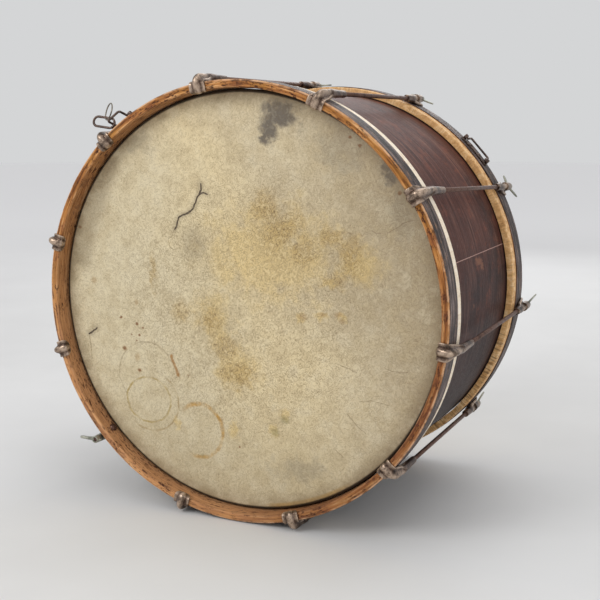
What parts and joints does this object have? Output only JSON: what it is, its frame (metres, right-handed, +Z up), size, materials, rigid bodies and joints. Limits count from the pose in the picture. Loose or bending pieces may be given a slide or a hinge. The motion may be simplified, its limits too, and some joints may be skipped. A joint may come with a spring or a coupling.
{
  "type": "rod-tensioned bass drum",
  "caption": "Large old two-headed bass drum lying on its hoops: dark wooden shell, stained skin heads, long tension rods with hooked claws and wing nuts, small wire carrying loops.",
  "frame": {"origin": "centre of the bounding box in plan, at the height of the lowest claws, on which the drum lies", "axes": "+Y along the drum's axis from the front head to the rear head, +Z up as the drum lies, +X to the right seen from the front"},
  "size_m": [0.6648, 0.4455, 0.6484],
  "materials": {
    "shell_wood": "worn dark mahogany varnish on bent plywood, streaked round the shell",
    "bare_wood": "unfinished, rough",
    "head_skin": "old calfskin, cream, stained and creased, faint sheen",
    "lapped_hoop": "calfskin lapped round a wooden hoop, matt and pleated",
    "hoop_wood": "worn black paint outside, bare orange-brown wood on the edge and inside",
    "claw_iron": "plating mostly gone, dark and rusty, bright on raised edges",
    "rod_steel": "dull, brown with rust",
    "wing_nut_metal": "pale grey worn plating with grey-green patina",
    "bail_wire": "dull, rusty in the corners",
    "ring_wire": "thin dull wire"
  },
  "bodies": {
    "drum": {"shell": "shell_wood", "front_glue_ring": "bare_wood", "rear_glue_ring": "bare_wood", "front_head": "head_skin", "rear_head": "head_skin", "front_flesh_hoop": "lapped_hoop", "rear_flesh_hoop": "lapped_hoop", "front_counterhoop": "hoop_wood", "rear_counterhoop": "hoop_wood", "front_claw_01": "claw_iron", "front_claw_02": "claw_iron", "front_claw_03": "claw_iron", "front_claw_04": "claw_iron", "front_claw_05": "claw_iron", "front_claw_06": "claw_iron", "front_claw_07": "claw_iron", "front_claw_08": "claw_iron", "front_claw_09": "claw_iron", "front_claw_10": "claw_iron", "rear_claw_01": "claw_iron", "rear_claw_02": "claw_iron", "rear_claw_03": "claw_iron", "rear_claw_04": "claw_iron", "rear_claw_05": "claw_iron", "rear_claw_06": "claw_iron", "rear_claw_07": "claw_iron", "rear_claw_08": "claw_iron", "rear_claw_09": "claw_iron", "rear_claw_10": "claw_iron", "rear_claw_11": "claw_iron", "tension_rod_01": "rod_steel", "tension_rod_02": "rod_steel", "tension_rod_03": "rod_steel", "tension_rod_04": "rod_steel", "tension_rod_05": "rod_steel", "tension_rod_06": "rod_steel", "tension_rod_07": "rod_steel", "tension_rod_08": "rod_steel", "tension_rod_09": "rod_steel", "tension_rod_10": "rod_steel", "tension_rod_11": "rod_steel", "eye_bolt": "rod_steel", "eye_bolt_nut": "rod_steel", "front_bail_plate": "bail_wire", "rear_bail_plate": "bail_wire"},
    "wing_nut_01": {"wing_nut_01": "wing_nut_metal"},
    "wing_nut_02": {"wing_nut_02": "wing_nut_metal"},
    "wing_nut_03": {"wing_nut_03": "wing_nut_metal"},
    "wing_nut_04": {"wing_nut_04": "wing_nut_metal"},
    "wing_nut_05": {"wing_nut_05": "wing_nut_metal"},
    "wing_nut_06": {"wing_nut_06": "wing_nut_metal"},
    "wing_nut_07": {"wing_nut_07": "wing_nut_metal"},
    "wing_nut_08": {"wing_nut_08": "wing_nut_metal"},
    "wing_nut_09": {"wing_nut_09": "wing_nut_metal"},
    "wing_nut_10": {"wing_nut_10": "wing_nut_metal"},
    "wing_nut_11": {"wing_nut_11": "wing_nut_metal"},
    "front_bail": {"front_bail": "bail_wire"},
    "rear_bail": {"rear_bail": "bail_wire"},
    "sling_link": {"sling_link": "bail_wire"},
    "wire_ring": {"wire_ring": "ring_wire"}
  },
  "joints": [
    {"name": "wing_nut_01_spin", "type": "hinge", "parent": "drum", "child": "wing_nut_01", "pos_m": [0.28142, 0.20615, 0.47542], "axis": [0.0225, 0.999, -0.0386], "continuous": true},
    {"name": "wing_nut_02_spin", "type": "hinge", "parent": "drum", "child": "wing_nut_02", "pos_m": [0.128, 0.2056, 0.61742], "axis": [0, 1, 0], "continuous": true},
    {"name": "wing_nut_03_spin", "type": "hinge", "parent": "drum", "child": "wing_nut_03", "pos_m": [-0.0596, 0.2056, 0.64128], "axis": [0, 1, 0], "continuous": true},
    {"name": "wing_nut_04_spin", "type": "hinge", "parent": "drum", "child": "wing_nut_04", "pos_m": [-0.22516, 0.2056, 0.56053], "axis": [0, 1, 0], "continuous": true},
    {"name": "wing_nut_05_spin", "type": "hinge", "parent": "drum", "child": "wing_nut_05", "pos_m": [-0.32087, 0.2056, 0.40187], "axis": [0, 1, 0], "continuous": true},
    {"name": "wing_nut_06_spin", "type": "hinge", "parent": "drum", "child": "wing_nut_06", "pos_m": [-0.31861, 0.2056, 0.22919], "axis": [0, 1, 0], "continuous": true},
    {"name": "wing_nut_07_spin", "type": "hinge", "parent": "drum", "child": "wing_nut_07", "pos_m": [-0.09948, 0.2056, 0.00737], "axis": [0, 1, 0], "continuous": true},
    {"name": "wing_nut_08_spin", "type": "hinge", "parent": "drum", "child": "wing_nut_08", "pos_m": [0.08908, 0.2056, 0.00737], "axis": [0, 1, 0], "continuous": true},
    {"name": "wing_nut_09_spin", "type": "hinge", "parent": "drum", "child": "wing_nut_09", "pos_m": [0.23949, 0.2056, 0.10393], "axis": [0, 1, 0], "continuous": true},
    {"name": "wing_nut_10_spin", "type": "hinge", "parent": "drum", "child": "wing_nut_10", "pos_m": [0.31877, 0.2056, 0.28159], "axis": [0, 1, 0], "continuous": true},
    {"name": "wing_nut_11_spin", "type": "hinge", "parent": "drum", "child": "wing_nut_11", "pos_m": [-0.24377, -0.19555, 0.09718], "axis": [0, -1, 0], "continuous": true},
    {"name": "front_bail_hinge", "type": "hinge", "parent": "drum", "child": "front_bail", "pos_m": [-0.19638, -0.19225, 0.58086], "axis": [-0.807, 0, -0.5906], "range_deg": [-12, 84]},
    {"name": "rear_bail_hinge", "type": "hinge", "parent": "drum", "child": "rear_bail", "pos_m": [0.23536, 0.17725, 0.53625], "axis": [-0.6691, 0, 0.7431], "range_deg": [-180, 5]},
    {"name": "sling_link_swing", "type": "hinge", "parent": "front_bail", "child": "sling_link", "pos_m": [-0.20916, -0.20108, 0.57733], "axis": [-0.2773, -0.8829, 0.3788], "range_deg": [-24, 3]},
    {"name": "wire_ring_swing", "type": "hinge", "parent": "sling_link", "child": "wire_ring", "pos_m": [-0.21794, -0.19922, 0.58541], "axis": [0.9925, 0, -0.1219], "range_deg": [-118, 36]}
  ]
}
